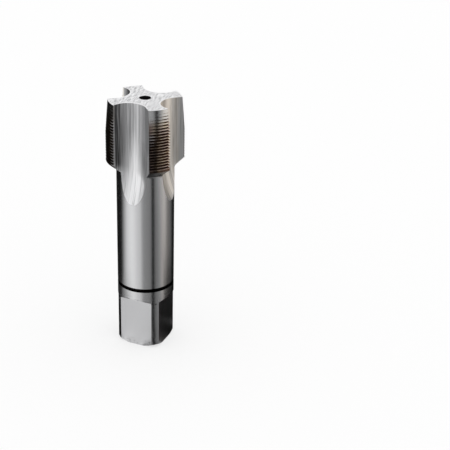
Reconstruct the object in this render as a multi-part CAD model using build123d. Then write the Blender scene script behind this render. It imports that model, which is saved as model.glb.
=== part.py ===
from build123d import *
import math
import os

# A hand tap for a fine metric thread, ground from one bar of high-speed steel.
# It stands on its square end. The origin is the centre of that end, +Z runs up the axis
# to the cutting end, and the four flats face +X, -X, +Y and -Y.
# Sizes are millimetres and degrees.

# Thread: right-hand, sixty-degree flanks
thread_diameter = 27.0
thread_pitch = 1.0
flank_angle = 60.0
thread_depth = 0.61
thread_length = 21.8          # from the front face back to the rear bevel

# Blank
total_length = 91.5
shank_diameter = 20.0
rear_bevel_length = 2.9
neck_fillet = 1.5
end_chamfer_height = 1.0
end_face_diameter = 17.0      # across the chamfered corners of the square

# Taper lead that does the cutting, ground lower towards each heel
lead_length = 8.0
lead_front_diameter = 25.74   # across the cutting edges, at the front face
lead_relief = 0.3             # how far the land has dropped at its heel

# Flutes
flute_count = 4
web_diameter = 13.0           # core left between opposite flutes
cutting_face_offset = 6.1     # from the flute's centre line
hook_radius = 5.6             # of the round corner under the cutting edge
heel_radius = 6.0             # of the wider corner towards the heel
heel_flank_slope = 39.5       # of the open flank, from the flute's centre line
wheel_radius = 26.0           # of the run-out that the grinding wheel leaves
straight_past_thread = 0.7    # how far the flute's floor stays level behind the thread

# Square drive and marking ring on the shank
square_across_flats = 16.0
square_length = 18.0          # up to the corners of the shoulder
flat_mill_radius = 15.0       # of the face mill, whose round edge leaves an arched shoulder
ring_height = 22.7
ring_width = 1.1
ring_depth = 0.45

# Centre holes at both ends
centre_mouth_diameter = 4.0
centre_pilot_diameter = 2.0
centre_cone_angle = 60.0
centre_depth = 4.5

# How far a cutting tool runs on past the steel, and a groove past each side of its land
overrun = 1.0
groove_overrun_angle = 4.0

head_radius = thread_diameter / 2
shank_radius = shank_diameter / 2
web_radius = web_diameter / 2
thread_rear = total_length - thread_length
flute_step = 360 / flute_count
upright = (Align.CENTER, Align.CENTER, Align.MIN)


def heel_foot():
    """Where the flute's round corner runs into the straight flank of the heel."""
    turn = math.radians(90 - heel_flank_slope)
    return web_radius + heel_radius * (1 - math.cos(turn)), heel_radius * math.sin(turn)


def heel_angle():
    """Angle from a flute's centre line to the heel that it leaves on the head."""
    foot_x, foot_y = heel_foot()
    slope = math.radians(heel_flank_slope)
    along = foot_x * math.cos(slope) + foot_y * math.sin(slope)
    reach = math.sqrt(along**2 + head_radius**2 - foot_x**2 - foot_y**2) - along
    heel_x = foot_x + reach * math.cos(slope)
    heel_y = foot_y + reach * math.sin(slope)
    return math.degrees(math.atan2(heel_y, heel_x))


# Each land runs from the heel of one flute to the cutting face of the next
land_start = heel_angle()
land_end = flute_step - math.degrees(math.asin(cutting_face_offset / head_radius))
land_middle = (land_start + land_end) / 2
land_half = math.radians((land_end - land_start) / 2)


def blank():
    """The turned bar: chamfered end, shank, neck, rear bevel and head."""
    bevel_foot = thread_rear - rear_bevel_length
    bevel_slope = math.atan2(head_radius - shank_radius, rear_bevel_length)
    fillet_reach = neck_fillet * math.tan(bevel_slope / 2)
    neck = (shank_radius, bevel_foot - fillet_reach)
    bevel_start = (
        shank_radius + fillet_reach * math.sin(bevel_slope),
        bevel_foot + fillet_reach * math.cos(bevel_slope),
    )
    with BuildPart() as bar:
        with BuildSketch(Plane.XZ):
            with BuildLine():
                Polyline(
                    (0, total_length),
                    (0, 0),
                    (end_face_diameter / 2, 0),
                    (shank_radius, end_chamfer_height),
                    neck,
                )
                TangentArc(neck, bevel_start, tangent=(0, 1))
                Polyline(
                    bevel_start,
                    (head_radius, thread_rear),
                    (head_radius, total_length),
                    (0, total_length),
                )
            make_face()
        revolve(axis=Axis.Z)
    return bar.part


def lead_cutter():
    """What is ground off one land so that its teeth rise towards the back and drop to the heel.

    The grinding axis is shifted sideways from the tap's own, towards the cutting edge.
    """
    shift = lead_relief / (2 * math.sin(land_half))
    front_radius = lead_front_diameter / 2

    def reach(radius):
        return math.hypot(radius * math.cos(land_half), radius * math.sin(land_half) - shift)

    front = reach(front_radius)
    growth = (reach(head_radius) - front) / lead_length
    outside = head_radius + shift + overrun
    with BuildPart() as cutter:
        with BuildSketch(Plane.XZ):
            with BuildLine():
                Polyline(
                    (front - growth * overrun, total_length + overrun),
                    (outside, total_length + overrun),
                    (outside, total_length - (outside - front) / growth),
                    close=True,
                )
            make_face()
        revolve(axis=Axis.Z, revolution_arc=flute_step)
    centred = Rot(0, 0, land_middle - flute_step / 2) * cutter.part
    sideways = math.radians(land_middle + 90)
    return Pos(shift * math.cos(sideways), shift * math.sin(sideways), 0) * centred


def flute_section(height):
    """A flute's section: hooked under the cutting edge, nearly flat below, open at the heel."""
    outside = head_radius + cutting_face_offset
    hook_centre = (web_radius + hook_radius, hook_radius - cutting_face_offset)
    heel_centre = (web_radius + heel_radius, 0)
    foot = heel_foot()
    heel_side = foot[1] + (outside - foot[0]) * math.tan(math.radians(heel_flank_slope))
    with BuildSketch(Plane.XY.offset(height)) as section:
        with BuildLine():
            Line((outside, -cutting_face_offset), (hook_centre[0], -cutting_face_offset))
            CenterArc(hook_centre, hook_radius, 270, -90)
            Line((web_radius, hook_centre[1]), (web_radius, heel_centre[1]))
            CenterArc(heel_centre, heel_radius, 180, heel_flank_slope - 90)
            Polyline(foot, (outside, heel_side), (outside, -cutting_face_offset))
        make_face()
    return section.sketch


def flute_cutter():
    """The path of the grinding wheel: straight along the head, then swinging out of the shank."""
    straight_end = thread_rear - straight_past_thread
    wheel_centre = web_radius + wheel_radius
    section = flute_section(straight_end)
    swing = math.degrees(math.acos((wheel_centre - shank_radius - overrun) / wheel_radius))
    with BuildPart() as cutter:
        extrude(section, amount=total_length - straight_end + overrun)
        wheel_axis = Axis((wheel_centre, 0, straight_end), (0, -1, 0))
        revolve(section, axis=wheel_axis, revolution_arc=swing)
    return cutter.part


def groove_cutter():
    """One stretch of the thread's helical groove, a little longer than a land is wide."""
    flank = math.tan(math.radians(flank_angle / 2))
    crest = thread_pitch - 2 * thread_depth * flank
    spread = (thread_pitch - crest / 2) / 2
    start = land_start - groove_overrun_angle
    turn = land_end + groove_overrun_angle - start
    path = Helix(thread_pitch, thread_pitch * turn / 360, head_radius)
    root = (head_radius - thread_depth, 0)
    mouth = root[0] + spread / flank
    with BuildSketch(Plane.XZ) as section:
        with BuildLine():
            Polyline(root, (mouth, -spread), (mouth, spread), close=True)
        make_face()
    groove = sweep(section.sketch, path=path, is_frenet=True)
    return Rot(0, 0, start) * groove, start


def grooves():
    """All the groove stretches, land by land, on one right-hand helix."""
    groove, start = groove_cutter()
    first = thread_rear + thread_pitch * (1 / 2 + start / 360)
    stretches = []
    for land in range(flute_count):
        turned = Rot(0, 0, land * flute_step) * groove
        height = first + thread_pitch * land / flute_count
        while height < total_length:
            stretches.append(Pos(0, 0, height) * turned)
            height += thread_pitch
    return stretches


def flat_cutter():
    """What a face mill takes off the +X side of the square, up to its arched shoulder."""
    half_square = square_across_flats / 2
    half_flat = math.sqrt(shank_radius**2 - half_square**2)
    mill_centre = square_length - math.sqrt(flat_mill_radius**2 - half_flat**2)
    with BuildPart() as cutter:
        with BuildSketch(Plane.YZ.offset(half_square)):
            with Locations((0, mill_centre)):
                Circle(flat_mill_radius)
                Rectangle(2 * flat_mill_radius, square_length, align=(Align.CENTER, Align.MAX))
        extrude(amount=shank_radius + overrun - half_square)
    return cutter.part


def ring_cutter():
    """The marking ring turned into the shank."""
    outer = Cylinder(shank_radius + overrun, ring_width, align=upright)
    inner = Cylinder(shank_radius - ring_depth, ring_width, align=upright)
    return Pos(0, 0, ring_height) * (outer - inner)


def centre_hole():
    """A lathe centre's cone and pilot, drilled down from Z = 0."""
    mouth = centre_mouth_diameter / 2
    pilot = centre_pilot_diameter / 2
    slope = math.tan(math.radians(centre_cone_angle / 2))
    with BuildPart() as hole:
        with BuildSketch(Plane.XZ):
            with BuildLine():
                Polyline(
                    (0, overrun),
                    (mouth + overrun * slope, overrun),
                    (pilot, -(mouth - pilot) / slope),
                    (pilot, -centre_depth),
                    (0, -centre_depth),
                    close=True,
                )
            make_face()
        revolve(axis=Axis.Z)
    return hole.part


def thread_tap():
    tap = blank()
    cutter = lead_cutter()
    tap -= [Rot(0, 0, land * flute_step) * cutter for land in range(flute_count)]
    wheel = flute_cutter()
    tap -= [Rot(0, 0, flute * flute_step) * wheel for flute in range(flute_count)]
    tap -= grooves()
    mill = flat_cutter()
    tap -= [Rot(0, 0, 90 * side) * mill for side in range(4)]
    tap -= ring_cutter()
    hole = centre_hole()
    tap -= [Pos(0, 0, total_length) * hole, Rot(180, 0, 0) * hole]
    return tap


os.makedirs("parts", exist_ok=True)
export_step(thread_tap(), "parts/thread_tap.step")
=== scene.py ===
import math

import bmesh
import bpy
from mathutils import Matrix, Vector


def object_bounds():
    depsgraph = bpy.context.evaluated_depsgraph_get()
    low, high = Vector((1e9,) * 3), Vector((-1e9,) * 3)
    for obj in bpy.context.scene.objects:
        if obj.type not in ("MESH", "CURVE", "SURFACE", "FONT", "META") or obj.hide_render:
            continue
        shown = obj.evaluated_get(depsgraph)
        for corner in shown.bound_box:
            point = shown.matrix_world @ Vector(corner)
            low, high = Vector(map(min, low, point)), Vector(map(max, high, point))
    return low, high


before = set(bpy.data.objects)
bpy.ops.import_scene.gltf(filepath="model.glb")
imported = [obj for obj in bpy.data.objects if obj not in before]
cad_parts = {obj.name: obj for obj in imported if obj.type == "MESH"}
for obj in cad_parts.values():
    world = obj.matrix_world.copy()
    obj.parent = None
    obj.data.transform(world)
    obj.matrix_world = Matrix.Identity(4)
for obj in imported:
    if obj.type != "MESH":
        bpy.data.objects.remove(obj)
cad_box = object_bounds()
MM = 0.001

FULL_TURN = 360

# The tap's own sizes in millimetres and degrees, as in its CAD source
FRONT_FACE = cad_box[1][2] / MM
THREAD_LENGTH = 21.8
PITCH = 1.0
HEAD_RADIUS = 13.5
THREAD_DEPTH = 0.61
FLANK_SLOPE = math.tan(math.radians(30))
LEAD_LENGTH = 8.0
SHANK_RADIUS = 10.0
BEVEL_LENGTH = 2.9
FLUTE_STEP = 90.0
LAND_MIDDLE = 47.2            # from a flute's centre line, rounded as its half width is
LAND_HALF = 16.0
WEB_RADIUS = 6.5
CUTTING_FACE = 6.1            # beside its flute's centre line
HOOK_RADIUS = 5.6
HEEL_RADIUS = 6.0
WHEEL_RADIUS = 26.0
STRAIGHT_PAST_THREAD = 0.7
HALF_SQUARE = 8.0
SQUARE_LENGTH = 18.0
MILL_RADIUS = 15.0
RING_FOOT = 22.7
RING_HALF = 0.55
MOUTH_RADIUS = 2.0            # of the centre holes

# Worked out from those sizes
THREAD_REAR = FRONT_FACE - THREAD_LENGTH
LEAD_REAR = FRONT_FACE - LEAD_LENGTH
HOOK_START = CUTTING_FACE - HOOK_RADIUS
STRAIGHT_END = THREAD_REAR - STRAIGHT_PAST_THREAD
AXLE_TO_SHANK = WEB_RADIUS + WHEEL_RADIUS - SHANK_RADIUS
RUN_OUT_TIP = STRAIGHT_END - math.sqrt(WHEEL_RADIUS**2 - AXLE_TO_SHANK**2)
HALF_FLAT = math.sqrt(SHANK_RADIUS**2 - HALF_SQUARE**2)
MILL_HEIGHT = SQUARE_LENGTH - math.sqrt(MILL_RADIUS**2 - HALF_FLAT**2)
SHOULDER_TOP = MILL_HEIGHT + MILL_RADIUS
RING_MIDDLE = RING_FOOT + RING_HALF

# How the finish is laid over them
CLOSE = 0.03                  # a point this near to a surface lies on it
LAND_FLOOR = 12.4             # every thread groove and lead is outside this radius
RIM_RADIUS = 12.3
RIM_WIDTH = 0.5
RING_SHADE = 0.15             # how far the dark of the ring passes its edges
SHOULDER_SHADE_WIDTH = 0.3
LINE_DEPTH = 0.04
TURNED_ROUGHNESS = 0.2
SATIN_ROUGHNESS = 0.25
LATHE_STREAK = 0.8            # how far the turned lines draw a highlight out
LATHE_QUARTER_TURN = 0.25

# Colours of the steel, painted shade and reflections among them
BARE = (0.608, 0.61, 0.618)
BRIGHT = (0.87, 0.872, 0.88)
BRIGHTEST = (0.92, 0.922, 0.93)
DULL = (0.49, 0.491, 0.5)
DARK = (0.10, 0.10, 0.10)
BLACK = (0.004, 0.004, 0.004)
NECK_SHADE = (0.16, 0.158, 0.155)
FLAT = (0.54, 0.541, 0.55)
SCRATCH = (0.45, 0.45, 0.46)
PIT_AND_SHADE_GREY = (0.06, 0.06, 0.06)
LEAD_HEEL = (0.56, 0.565, 0.575)
LEAD_EDGE = (0.80, 0.775, 0.73)
CREAM_REFLECTION = (0.90, 0.85, 0.78)
PLAIN_GREY = (0.64, 0.645, 0.645)

# Heat tint on the crests, and oxide in the grooves
STRAW = (0.70, 0.60, 0.46)
ROSY_STRAW = (0.62, 0.50, 0.43)
DEEP_STRAW = (0.20, 0.13, 0.11)
BLUED = (0.40, 0.42, 0.46)
BROWN = (0.20, 0.13, 0.08)
DEEP_BROWN = (0.14, 0.085, 0.06)
BURNT = (0.03, 0.02, 0.018)

CAMERA_PLACE = Vector((167.3, -342.3, 229.15)) * MM
CAMERA_TARGET = Vector((26.6, 8.5, 46.1)) * MM
CAMERA_ROLL = math.radians(1.6)
CAMERA_BEARING = math.atan2(CAMERA_PLACE.y, CAMERA_PLACE.x)
SENSOR_WIDTH = 36.0
LENS = 96.3
NEAREST_SEEN = 0.01
FURTHEST_SEEN = 20.0

FLOOR_HALF = 3.0
PAPER_GREY = 0.98
PAPER_GLOW = 0.6              # the share of its white that a shadow can't darken

# Grey cards stand all round the tap and fade into each other. Each is a bearing, in degrees
# to the right of the camera, and a brightness. Those between the warm bearings are cream.
NEUTRAL = (1.0, 1.0, 1.0)
WARM = (1.0, 0.945, 0.9)
WARM_START = 68
WARM_END = 97
CARDS = [
    # Pale behind the tap, then black
    (-180, 0.9), (-168, 0.4), (-154, 0.01), (-115, 0.01), (-106, 0.05),
    # A wide white card on the left
    (-97, 0.30), (-88, 0.62), (-76, 0.96), (-58, 1.12), (-48, 1.08), (-38, 0.92), (-18, 0.72),
    # Grey round the camera, then a narrow black card
    (-14, 0.48), (-6, 0.33), (18, 0.25), (22, 0.15), (25, 0.005), (31, 0.005),
    # Grey on the right, cream in its middle
    (35, 0.14), (42, 0.20), (56, 0.32), (68, 0.54), (79, 0.58), (87, 0.35), (97, 0.22), (114, 0.16),
    # Black, and pale behind the tap again
    (122, 0.06), (129, 0.01), (154, 0.01), (168, 0.4), (180, 0.9),
]

# The cards lie on the floor in rings and stand as a wall. A ring has two radii, a share to which
# its bearings close up towards the camera, and changes: a first bearing, a last and a factor.
ABOVE_FLOOR = 0.2
HEAD_CHANGES = [(33, 100, 1.7)]
FLOOR_RINGS = {
    "foot_cards": (7, 16, 0.71, [(-100, -70, 1.15), (-60, -40, 0.86), (-20, 24, 1.4), (60, 150, 0.12)]),
    "square_cards": (16, 35, 0.88, [(-100, -40, 0.86), (60, 150, 0.05)]),
    "collar_cards": (35, 50, 0.945, [(-120, -100, 5), (-90, -70, 0.5), (-60, -50, 0.75), (75, 150, 0.01)]),
    "low_cards": (50, 72, 0.97, [(75, 150, 0.38)]),
    "shank_cards": (72, 140, 1, []),
    "neck_cards": (140, 172, 1, [(33, 100, 1.05)]),
    "head_cards": (172, 230, 1, HEAD_CHANGES),
}
RING_STEPS = 96
WALL_RADIUS = 230
WALL_FOOT = 48
WALL_TOP = 130
WALL_CHANGES = [(-14, 24, 2.4), (33, 60, 3.0), (60, 100, 1.3)]

# Above the wall: white, with a grey strip in front and a black stretch behind the tap on each side
SKY_TOP = 300
SKY_CARDS = [
    (-180, 1.0), (-168, 1.0), (-160, 0.02), (-116, 0.02),
    (-100, 0.9), (20, 0.9), (25, 0.2), (31, 0.2), (40, 0.9), (104, 0.9),
    (120, 0.02), (160, 0.02), (168, 1.0), (180, 1.0),
]


class Value:
    """A socket in a material, so that shader maths reads as arithmetic."""

    def __init__(self, shader, socket):
        self.shader = shader
        self.socket = socket

    def maths(self, operation, *others):
        return self.shader.node("ShaderNodeMath", {"operation": operation}, [self, *others])

    def __add__(self, other):
        return self.maths("ADD", other)

    def __radd__(self, other):
        return self.maths("ADD", other)

    def __sub__(self, other):
        return self.maths("SUBTRACT", other)

    def __rsub__(self, other):
        return self.maths("MULTIPLY", -1.0).maths("ADD", other)

    def __mul__(self, other):
        return self.maths("MULTIPLY", other)

    def __rmul__(self, other):
        return self.maths("MULTIPLY", other)

    def __truediv__(self, other):
        return self.maths("DIVIDE", other)

    def __abs__(self):
        return self.maths("ABSOLUTE")

    def __lt__(self, other):
        return self.maths("LESS_THAN", other)

    def __gt__(self, other):
        return self.maths("GREATER_THAN", other)

    def most(self, other):
        """The greater of two values."""
        return self.maths("MAXIMUM", other)

    def least(self, other):
        """The smaller of two values."""
        return self.maths("MINIMUM", other)

    def root(self):
        return self.maths("SQRT")

    def cycle(self, length):
        """The value wrapped to run from minus half a length to plus half a length."""
        return (self + FULL_TURN + length / 2).maths("MODULO", length) - length / 2

    def ramp(self, start, end):
        """0 at start, 1 at end, smooth between."""
        settings = {"interpolation_type": "SMOOTHSTEP"}
        inputs = {"Value": self, "From Min": start, "From Max": end}
        return self.shader.node("ShaderNodeMapRange", settings, inputs)


class Shader:
    """The nodes of one material."""

    def __init__(self, name):
        self.material = bpy.data.materials.new(name)
        self.material.use_nodes = True
        self.tree = self.material.node_tree
        self.tree.nodes.clear()

    def node(self, kind, settings, inputs, output=0):
        """One node: its settings first, then its sockets, by order or by name."""
        made = self.tree.nodes.new(kind)
        for name, setting in settings.items():
            if name == "stops":
                self.set_stops(made.color_ramp.elements, setting)
            else:
                setattr(made, name, setting)
        pairs = inputs.items() if isinstance(inputs, dict) else enumerate(inputs)
        for key, value in pairs:
            if isinstance(value, Value):
                self.tree.links.new(value.socket, made.inputs[key])
            else:
                made.inputs[key].default_value = value
        if made.outputs:
            return Value(self, made.outputs[output])

    def set_stops(self, made, stops):
        """A ramp's stops, each a place and a colour; the ramp starts with its first and last."""
        for place, colour in stops[1:-1]:
            made.new(place)
        for stop, (place, colour) in zip(made, stops):
            stop.position = place
            stop.color = (*colour, 1)

    def place(self):
        """Where a point is on the tap: x, y and z in millimetres."""
        place = self.node("ShaderNodeTexCoord", {}, {}, "Object")
        scaled = self.node("ShaderNodeVectorMath", {"operation": "SCALE"}, {0: place, "Scale": 1 / MM})
        return [self.node("ShaderNodeSeparateXYZ", {}, [scaled], axis) for axis in range(3)]

    def noise(self, x, y, z, scale=1.0, detail=2.0):
        vector = self.node("ShaderNodeCombineXYZ", {}, [x, y, z])
        inputs = {"Vector": vector, "Scale": scale, "Detail": detail}
        return self.node("ShaderNodeTexNoise", {}, inputs)

    def mix(self, factor, first, second):
        """A colour between two, each given as a value or as red, green and blue."""
        colours = [colour if isinstance(colour, Value) else (*colour, 1) for colour in (first, second)]
        inputs = {0: factor, 6: colours[0], 7: colours[1]}
        return self.node("ShaderNodeMix", {"data_type": "RGBA"}, inputs, 2)

    def steel(self, colour, roughness, normal, anisotropic=0.0, rotation=0.0):
        inputs = {
            "Base Color": colour,
            "Roughness": roughness,
            "Metallic": 1.0,
            "Normal": normal,
            "Anisotropic": anisotropic,
            "Anisotropic Rotation": rotation,
        }
        return self.node("ShaderNodeBsdfPrincipled", {}, inputs)

    def blend(self, factor, first, second):
        return self.node("ShaderNodeMixShader", {}, [factor, first, second])

    def finish(self, surface):
        self.node("ShaderNodeOutputMaterial", {}, {"Surface": surface})
        return self.material


class GroundSteel(Shader):
    """The tap's one material, laid over it by places in millimetres.

    A mask is 1 on the surface that it names and 0 elsewhere. A ramp's two numbers say where
    a finish starts to show and where it is full.
    """

    def __init__(self):
        super().__init__("ground_steel")
        self.x, self.y, self.z = self.place()
        self.radius = (self.x * self.x + self.y * self.y).root()
        self.turn = self.y.maths("ARCTAN2", self.x) * math.degrees(1)
        self.find_surfaces()
        self.find_groove()
        self.find_place_in_flute()
        self.draw_lines()

    def lumps(self, per_mm):
        """A cloudy pattern with about so many lumps to the millimetre."""
        return self.noise(self.x, self.y, self.z, per_mm)

    def find_surfaces(self):
        """Masks of the surfaces that the tools have left on the tap."""
        radius, z = self.radius, self.z
        self.from_land_middle = (self.turn - LAND_MIDDLE).cycle(FLUTE_STEP)
        self.front = z > FRONT_FACE - CLOSE
        on_land = (abs(self.from_land_middle) < LAND_HALF) * (radius > LAND_FLOOR)
        self.land = on_land * (z > THREAD_REAR - CLOSE) * (1 - self.front)
        up_bevel = ((z - THREAD_REAR) / BEVEL_LENGTH + 1).most(0.0).least(1.0)
        blank_radius = SHANK_RADIUS + up_bevel * (HEAD_RADIUS - SHANK_RADIUS)
        cut_away = (radius < blank_radius - CLOSE) * (z > RUN_OUT_TIP - 1)
        self.flute = cut_away * (1 - self.land) * (1 - self.front)
        # The neck's bevel, which carries painted shade
        self.neck = (radius > SHANK_RADIUS + 0.2) * (z < THREAD_REAR) * (1 - self.flute)
        to_square = abs(abs(self.x).most(abs(self.y)) - HALF_SQUARE)
        self.flat = (to_square < CLOSE) * (z < SHOULDER_TOP + CLOSE)
        self.ring = abs(z - RING_MIDDLE) < RING_HALF + RING_SHADE
        # The centre holes, which are painted black as shade
        self.centre = radius < MOUTH_RADIUS + CLOSE
        self.right_flute = abs(self.turn) < FLUTE_STEP / 2
        self.left_land = self.turn < -FLUTE_STEP

    def find_groove(self):
        """The thread's groove, from its helix and its depth below the crests."""
        phase = ((self.z - THREAD_REAR) / PITCH - self.turn / FULL_TURN).maths("FRACT")
        from_root = abs(phase - 0.5) * PITCH
        above_root = self.radius - HEAD_RADIUS + THREAD_DEPTH
        grime = (self.lumps(0.9) - 0.5) * 0.2
        self.groove = (from_root < above_root * FLANK_SLOPE + 2 * CLOSE + grime) * self.land
        self.to_cutting_edge = self.from_land_middle / LAND_HALF

    def find_place_in_flute(self):
        """How far a point lies out from the tap's core, and across the flute towards its heel."""
        turn = self.turn.cycle(FLUTE_STEP) / math.degrees(1)
        self.which_flute = self.turn - turn * math.degrees(1)
        self.from_core = self.radius * turn.maths("COSINE") - WEB_RADIUS
        self.to_heel = self.radius * turn.maths("SINE")
        self.hook_side = self.to_heel < 0
        self.run_out = self.z.ramp(THREAD_REAR + 0.3, THREAD_REAR - 3.7)

    def from_floor(self):
        """How far out a point lies from the deepest line of the wheel's path, on the run-out too."""
        below_straight = (self.z - STRAIGHT_END).least(0.0)
        from_axle = WHEEL_RADIUS - self.from_core
        return WHEEL_RADIUS - (from_axle * from_axle + below_straight * below_straight).root()

    def draw_lines(self):
        """Lines left by turning, by the flutes' grinding wheel and by grinding the front face."""
        x, y, z = self.x, self.y, self.z
        self.round_lines = self.noise(x * 0.25, y * 0.25, z * 7)
        along_flute = z * 0.05 + self.which_flute * 0.1
        self.long_lines = self.noise(self.to_heel * 2, self.from_floor() * 2, along_flute, detail=4.0)
        slant = math.radians(92)
        across = x * math.sin(slant) - y * math.cos(slant)
        along = x * math.cos(slant) + y * math.sin(slant)
        self.slant_lines = self.noise(across * 3, along * 0.35, 0.0, detail=4.0)
        self.grain = self.lumps(6.0)

    def painted_rim_highlight(self):
        """A painted highlight on the edge of the front face, along its lands and its flutes."""
        corner = self.hook_side * (HOOK_RADIUS - HEEL_RADIUS) + HEEL_RADIUS
        into_corner = (abs(self.to_heel) - self.hook_side * HOOK_START).most(0.0)
        corner_drop = corner - (corner * corner - into_corner * into_corner).most(0.0).root()
        beside_flute = corner_drop - self.from_core < RIM_WIDTH
        return self.front * (self.radius > RIM_RADIUS).most(beside_flute)

    def bare_metal(self):
        """The turned shank, painted shade on the neck's bevel, the milled flats, the front face with a
        painted highlight along its edge, and the lead's clean teeth.
        """
        scratched_metal = self.mix(self.slant_lines.ramp(0.4, 0.56), SCRATCH, BRIGHT)
        lead = self.land * self.z.ramp(LEAD_REAR, LEAD_REAR + 3)
        lead_metal = self.mix(self.to_cutting_edge.ramp(-0.1, 0.5), LEAD_HEEL, LEAD_EDGE)
        # Painted shade on the neck's bevel
        colour = self.mix(self.neck, BARE, NECK_SHADE)
        colour = self.mix(self.flat, colour, FLAT)
        colour = self.mix(self.front, colour, scratched_metal)
        # A painted highlight along the front face's edge
        colour = self.mix(self.painted_rim_highlight() * 0.8, colour, BRIGHTEST)
        return self.mix(lead, colour, lead_metal)

    def flute_metal(self):
        """Painted light towards the run-out, painted shade under the cutting edge and at the foot of the
        heel.
        """
        z, from_core, to_heel = self.z, self.from_core, self.to_heel
        # Painted light: paler towards the run-out, in the hook and on the upper heel
        painted_light_to_run_out = z.ramp(83, 63)
        painted_light_in_hook = from_core.ramp(0.5, 1.2) * self.hook_side * 0.35
        painted_light_on_heel = to_heel.ramp(0.5, 3) * z.ramp(76, 80) * 0.4
        pale = painted_light_to_run_out.most(painted_light_in_hook).most(painted_light_on_heel)

        # Painted shade under the cutting edge; the flute that faces -X has none in its hook
        in_hook = from_core.ramp(1.2, 2.8) * self.hook_side * (self.x > -WEB_RADIUS)
        hook_shade = in_hook * z.ramp(66.5, 70.5)
        # Painted shade at the foot of the heel and along its far edge
        shade_start = z.ramp(68, 63) * 4.5 - 1.5
        heel_shade = to_heel.ramp(shade_start, 4.5) * z.ramp(80, 70) * 0.85
        heel_edge_shade = to_heel.ramp(3.2, 4.8) * 0.5
        shade = hook_shade.most(heel_shade).most(heel_edge_shade)

        # A painted reflection of the cream cards, for the flute that faces +X
        cream = self.mix(from_core.ramp(2.4, 4.2), CREAM_REFLECTION, PLAIN_GREY)
        bright_lines = self.long_lines.ramp(0.5, 0.62) * 0.35
        dark_lines = self.long_lines.ramp(0.46, 0.36) * 0.4
        dull_lines = self.long_lines.ramp(0.52, 0.42) * self.run_out * 0.4
        colour = self.mix(pale, DULL, self.mix(self.run_out, BRIGHT, BRIGHTEST))
        colour = self.mix(shade, colour, DARK)
        colour = self.mix(self.right_flute, colour, cream)
        colour = self.mix(bright_lines, colour, BRIGHTEST)
        colour = self.mix(dark_lines, colour, DARK)
        return self.mix(dull_lines, colour, DULL)

    def heat_tinted(self, colour):
        """Tint and oxide on the thread, darker towards the heel, worn off the left cutting edge."""
        z, to_cutting_edge = self.z, self.to_cutting_edge
        cloud = self.lumps(0.35)
        from_heel = to_cutting_edge.ramp(-1.1, 0.1)
        blued = z.ramp(78.5, 80) * z.ramp(84, 82.5) * to_cutting_edge.ramp(-0.3, -0.6)
        tint = self.mix(cloud.ramp(0.35, 0.65), STRAW, ROSY_STRAW)
        tint = self.mix(from_heel, DEEP_STRAW, tint)
        tint = self.mix(blued * 0.5, tint, BLUED)
        oxide = self.mix(cloud.ramp(0.4, 0.6), BROWN, DEEP_BROWN)
        oxide = self.mix(from_heel, BURNT, oxide)
        worn_edge = to_cutting_edge.ramp(0.6, 0.8) * self.left_land * 0.8
        tinted = self.land * z.ramp(FRONT_FACE - 2.5, FRONT_FACE - 6) * (1 - worn_edge)
        oxidised = self.groove * z.ramp(FRONT_FACE, FRONT_FACE - 3)
        return self.mix(oxidised, self.mix(tinted * 0.9, colour, tint), oxide)

    def worn_and_glinting_crests(self):
        """Crests of the left land that have lost their tint and carry a painted highlight, most of all at
        the cutting edge.
        """
        worn = (self.land - self.groove) * self.left_land * self.to_cutting_edge.ramp(0.1, 1) * 0.6
        return worn * self.z.ramp(FRONT_FACE - 3, FRONT_FACE - 7)

    def pits_and_shoulder_shade(self):
        """Pits near the foot of the flats, and painted shade in a ragged line along their shoulders."""
        beside = abs(self.x).least(abs(self.y))
        shoulder = (MILL_RADIUS**2 - beside * beside).root() + MILL_HEIGHT
        # Painted shade along the shoulders, broken into a ragged line
        shoulder_shade = (abs(self.z - shoulder) < SHOULDER_SHADE_WIDTH) * (self.lumps(1.6) > 0.56)
        pits = self.flat * self.z.ramp(3.5, 2) * (self.lumps(2.2) > 0.65)
        return shoulder_shade.most(pits)

    def bump(self):
        turned = (1 - self.flute) * (1 - self.front) * (1 - self.flat)
        height = self.round_lines * 0.3 * turned + self.long_lines * self.flute
        height = height + self.slant_lines * self.front + self.grain * self.flat
        return self.node("ShaderNodeBump", {}, {"Height": height, "Distance": LINE_DEPTH * MM})

    def complete(self):
        """The material: lathe-turned steel, and satin steel where a wheel or a mill has cut."""
        worn_and_glinting_crests = self.worn_and_glinting_crests()
        colour = self.mix(self.flute, self.bare_metal(), self.flute_metal())
        colour = self.heat_tinted(colour)
        # Worn crests: tint lost, and a painted highlight brighter than bare steel
        colour = self.mix(worn_and_glinting_crests, colour, BRIGHTEST)
        # Black in the ring groove, and painted shade in the centre holes
        colour = self.mix(self.ring.most(self.centre), colour, BLACK)
        colour = self.mix(self.pits_and_shoulder_shade() * 0.8, colour, PIT_AND_SHADE_GREY)
        bump = self.bump()
        turned_roughness = TURNED_ROUGHNESS + self.round_lines.ramp(0.3, 0.7) * 0.06
        turned = self.steel(colour, turned_roughness, bump, LATHE_STREAK, LATHE_QUARTER_TURN)
        rougher_flute = self.flute * (0.12 + self.run_out * 0.12)
        satin_roughness = SATIN_ROUGHNESS + self.grain * 0.06 + rougher_flute + worn_and_glinting_crests * 0.35
        satin = self.steel(colour, satin_roughness, bump)
        satin_share = self.flute.most(self.front).most(self.flat).most(worn_and_glinting_crests)
        return self.finish(self.blend(satin_share, turned, satin))


def add_camera():
    camera = bpy.data.objects.new("camera", bpy.data.cameras.new("camera"))
    bpy.context.scene.collection.objects.link(camera)
    camera.data.sensor_width = SENSOR_WIDTH
    camera.data.lens = LENS
    camera.data.clip_start = NEAREST_SEEN
    camera.data.clip_end = FURTHEST_SEEN
    aim = (CAMERA_TARGET - CAMERA_PLACE).to_track_quat("-Z", "Y").to_matrix().to_4x4()
    roll = Matrix.Rotation(CAMERA_ROLL, 4, "Z")
    camera.matrix_world = Matrix.Translation(CAMERA_PLACE) @ aim @ roll
    bpy.context.scene.camera = camera


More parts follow.
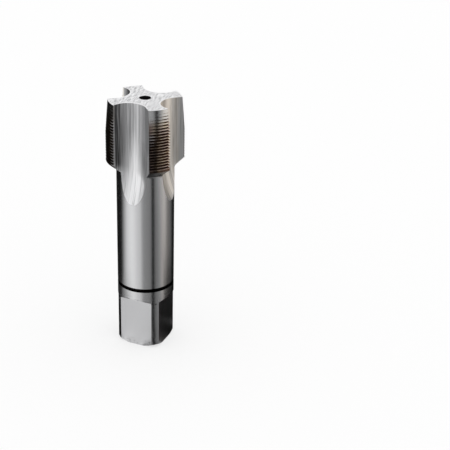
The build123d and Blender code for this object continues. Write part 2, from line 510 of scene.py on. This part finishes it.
def add_world():
    world = bpy.data.worlds.new("studio")
    world.use_nodes = True
    background = world.node_tree.nodes["Background"]
    background.inputs["Color"].default_value = (1, 1, 1, 1)
    background.inputs["Strength"].default_value = 1.0
    bpy.context.scene.world = world
    bpy.context.scene.view_settings.view_transform = "Standard"


def white_paper():
    """White to the camera, with only a pale shadow."""
    paper = Shader("white_paper")
    camera_ray = paper.node("ShaderNodeLightPath", {}, {}, "Is Camera Ray")
    matt = paper.node(
        "ShaderNodeBsdfPrincipled",
        {},
        {"Base Color": (PAPER_GREY, PAPER_GREY, PAPER_GREY, 1), "Roughness": 0.9, "Specular IOR Level": 0.0},
    )
    white = paper.node("ShaderNodeEmission", {}, {"Color": (1, 1, 1, 1), "Strength": 1.0})
    return paper.finish(paper.blend(camera_ray * PAPER_GLOW, matt, white))


def add_floor():
    mesh = bpy.data.meshes.new("floor")
    shape = bmesh.new()
    bmesh.ops.create_grid(shape, x_segments=1, y_segments=1, size=FLOOR_HALF)
    shape.to_mesh(mesh)
    shape.free()
    mesh.materials.append(white_paper())
    floor = bpy.data.objects.new("floor", mesh)
    bpy.context.scene.collection.objects.link(floor)


def changed(cards, changes):
    """The cards with some stretches darker or brighter."""
    result = []
    for bearing, brightness in cards:
        for first, last, factor in changes:
            if first <= bearing <= last:
                brightness *= factor
        result.append((bearing, brightness))
    return result


def cards_material(name, cards, closing):
    """The cards side by side, fading into each other, as light by bearing."""
    shader = Shader(name)
    place = shader.node("ShaderNodeTexCoord", {}, {}, "Object")
    bearing = shader.node("ShaderNodeTexGradient", {"gradient_type": "RADIAL"}, [place], "Fac")
    stops = []
    for degrees, brightness in cards:
        tint = WARM if WARM_START <= degrees <= WARM_END else NEUTRAL
        stops.append((degrees * closing / FULL_TURN + 0.5, [brightness * part for part in tint]))
    strip = shader.node("ShaderNodeValToRGB", {"stops": stops}, [bearing])
    return shader.finish(shader.node("ShaderNodeEmission", {}, {"Color": strip, "Strength": 1.0}))


def add_cards(name, cards, profile, closing=1):
    """A ring of cards round the tap, seen only in the steel, from its radii and heights."""
    shape = bmesh.new()
    points = [shape.verts.new((radius * MM, 0, height * MM)) for radius, height in profile]
    edges = [shape.edges.new(pair) for pair in zip(points, points[1:])]
    bmesh.ops.spin(
        shape,
        geom=points + edges,
        cent=(0, 0, 0),
        axis=(0, 0, 1),
        angle=math.tau,
        steps=RING_STEPS,
        use_merge=True,
    )
    mesh = bpy.data.meshes.new(name)
    shape.to_mesh(mesh)
    shape.free()
    mesh.materials.append(cards_material(name, cards, closing))
    ring = bpy.data.objects.new(name, mesh)
    ring.rotation_euler.z = CAMERA_BEARING
    bpy.context.scene.collection.objects.link(ring)
    ring.visible_camera = False
    ring.visible_diffuse = False
    ring.visible_shadow = False
    ring.visible_transmission = False
    ring.visible_volume_scatter = False


def add_studio_cards():
    for name, (inner, outer, closing, changes) in FLOOR_RINGS.items():
        flat_ring = [(inner, ABOVE_FLOOR), (outer, ABOVE_FLOOR)]
        add_cards(name, changed(CARDS, changes), flat_ring, closing)
    skirting = [(WALL_RADIUS, ABOVE_FLOOR), (WALL_RADIUS, WALL_FOOT)]
    wall = [(WALL_RADIUS, WALL_FOOT), (WALL_RADIUS, WALL_TOP)]
    sky = [(WALL_RADIUS, WALL_TOP), (WALL_RADIUS, SKY_TOP)]
    add_cards("skirting_cards", changed(CARDS, HEAD_CHANGES), skirting)
    add_cards("wall_cards", changed(CARDS, WALL_CHANGES), wall)
    add_cards("sky_cards", SKY_CARDS, sky)


add_camera()
add_world()
add_floor()
add_studio_cards()
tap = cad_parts["thread_tap"]
tap.data.materials[0] = GroundSteel().complete()
